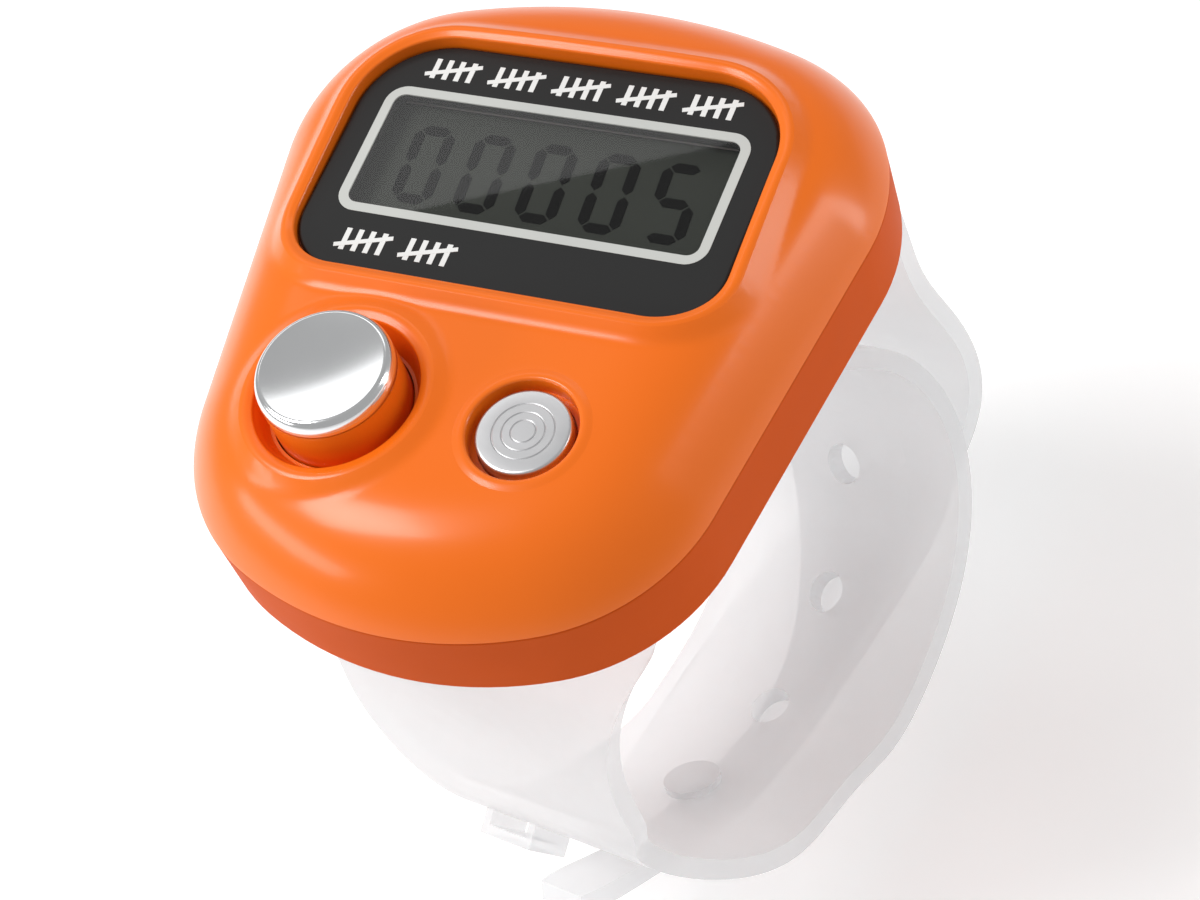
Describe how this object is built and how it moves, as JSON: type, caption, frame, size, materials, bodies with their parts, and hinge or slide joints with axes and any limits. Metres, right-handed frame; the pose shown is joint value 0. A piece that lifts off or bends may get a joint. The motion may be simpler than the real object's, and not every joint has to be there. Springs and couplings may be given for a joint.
{
  "type": "hand tally counter",
  "caption": "Finger-worn tally counter: rounded orange case with a digital display, a count button, a reset button and an adjustable translucent band.",
  "frame": {"origin": "centre of the case back, where it rests on the finger", "axes": "+Z out of the display face, +Y towards the display end, +X along a line of digits"},
  "size_m": [0.0351, 0.0416, 0.0484],
  "materials": {
    "orange_gloss": "gloss moulded orange",
    "orange_matt": "satin moulded orange",
    "panel_black": "gloss black panel",
    "silver_print": "silver printed line",
    "clear_window": "clear window",
    "clear_glass": "thin display glass",
    "lcd_tint": "polarizing film",
    "lcd_ink": "dark display digits",
    "lcd_back": "grey display backing",
    "white_plastic": "white moulded",
    "strip_rubber": "soft contact strip",
    "board_green": "coated board",
    "resin_black": "black resin",
    "switch_black": "moulded black",
    "switch_tip": "moulded ivory",
    "bright_chrome": "bright plated",
    "satin_silver": "satin with bright edge",
    "cell_steel": "nickel plated",
    "contact_steel": "plated spring strip",
    "screw_steel": "zinc plated",
    "band_clear": "soft translucent milky plastic"
  },
  "bodies": {
    "case": {"top_shell": "orange_gloss", "bottom_shell": "orange_matt", "bezel_plate": "panel_black", "silver_frame": "silver_print", "window_lens": "clear_window", "lcd_polarizer": "lcd_tint", "lcd_front_glass": "clear_glass", "lcd_segments": "lcd_ink", "lcd_rear_glass": "clear_glass", "lcd_reflector": "lcd_back", "lcd_holder": "white_plastic", "contact_strips": "strip_rubber", "circuit_board": "board_green", "chip_blob": "resin_black", "resistors": "resin_black", "count_switch": "switch_black", "reset_switch": "switch_black", "battery": "cell_steel", "battery_negative_contact": "contact_steel", "battery_positive_contact": "contact_steel", "battery_door": "orange_matt", "battery_door_screw": "screw_steel", "case_screws": "screw_steel", "board_screws": "screw_steel", "strap_long": "band_clear", "strap_short": "band_clear"},
    "count_button": {"count_plunger": "orange_gloss", "count_cap": "bright_chrome", "count_switch_tip": "switch_tip"},
    "reset_button": {"reset_plunger": "orange_gloss", "reset_cap": "satin_silver", "reset_switch_tip": "switch_tip"}
  },
  "joints": [
    {"name": "count_press", "type": "slide", "parent": "case", "child": "count_button", "axis": [0, 0, -1], "range_m": [0, 0.0004], "stiffness_N_per_m": 3000, "springref_m": -0.0002},
    {"name": "reset_press", "type": "slide", "parent": "case", "child": "reset_button", "axis": [0, 0, -1], "range_m": [0, 0.0004], "stiffness_N_per_m": 3000, "springref_m": -0.0002}
  ]
}
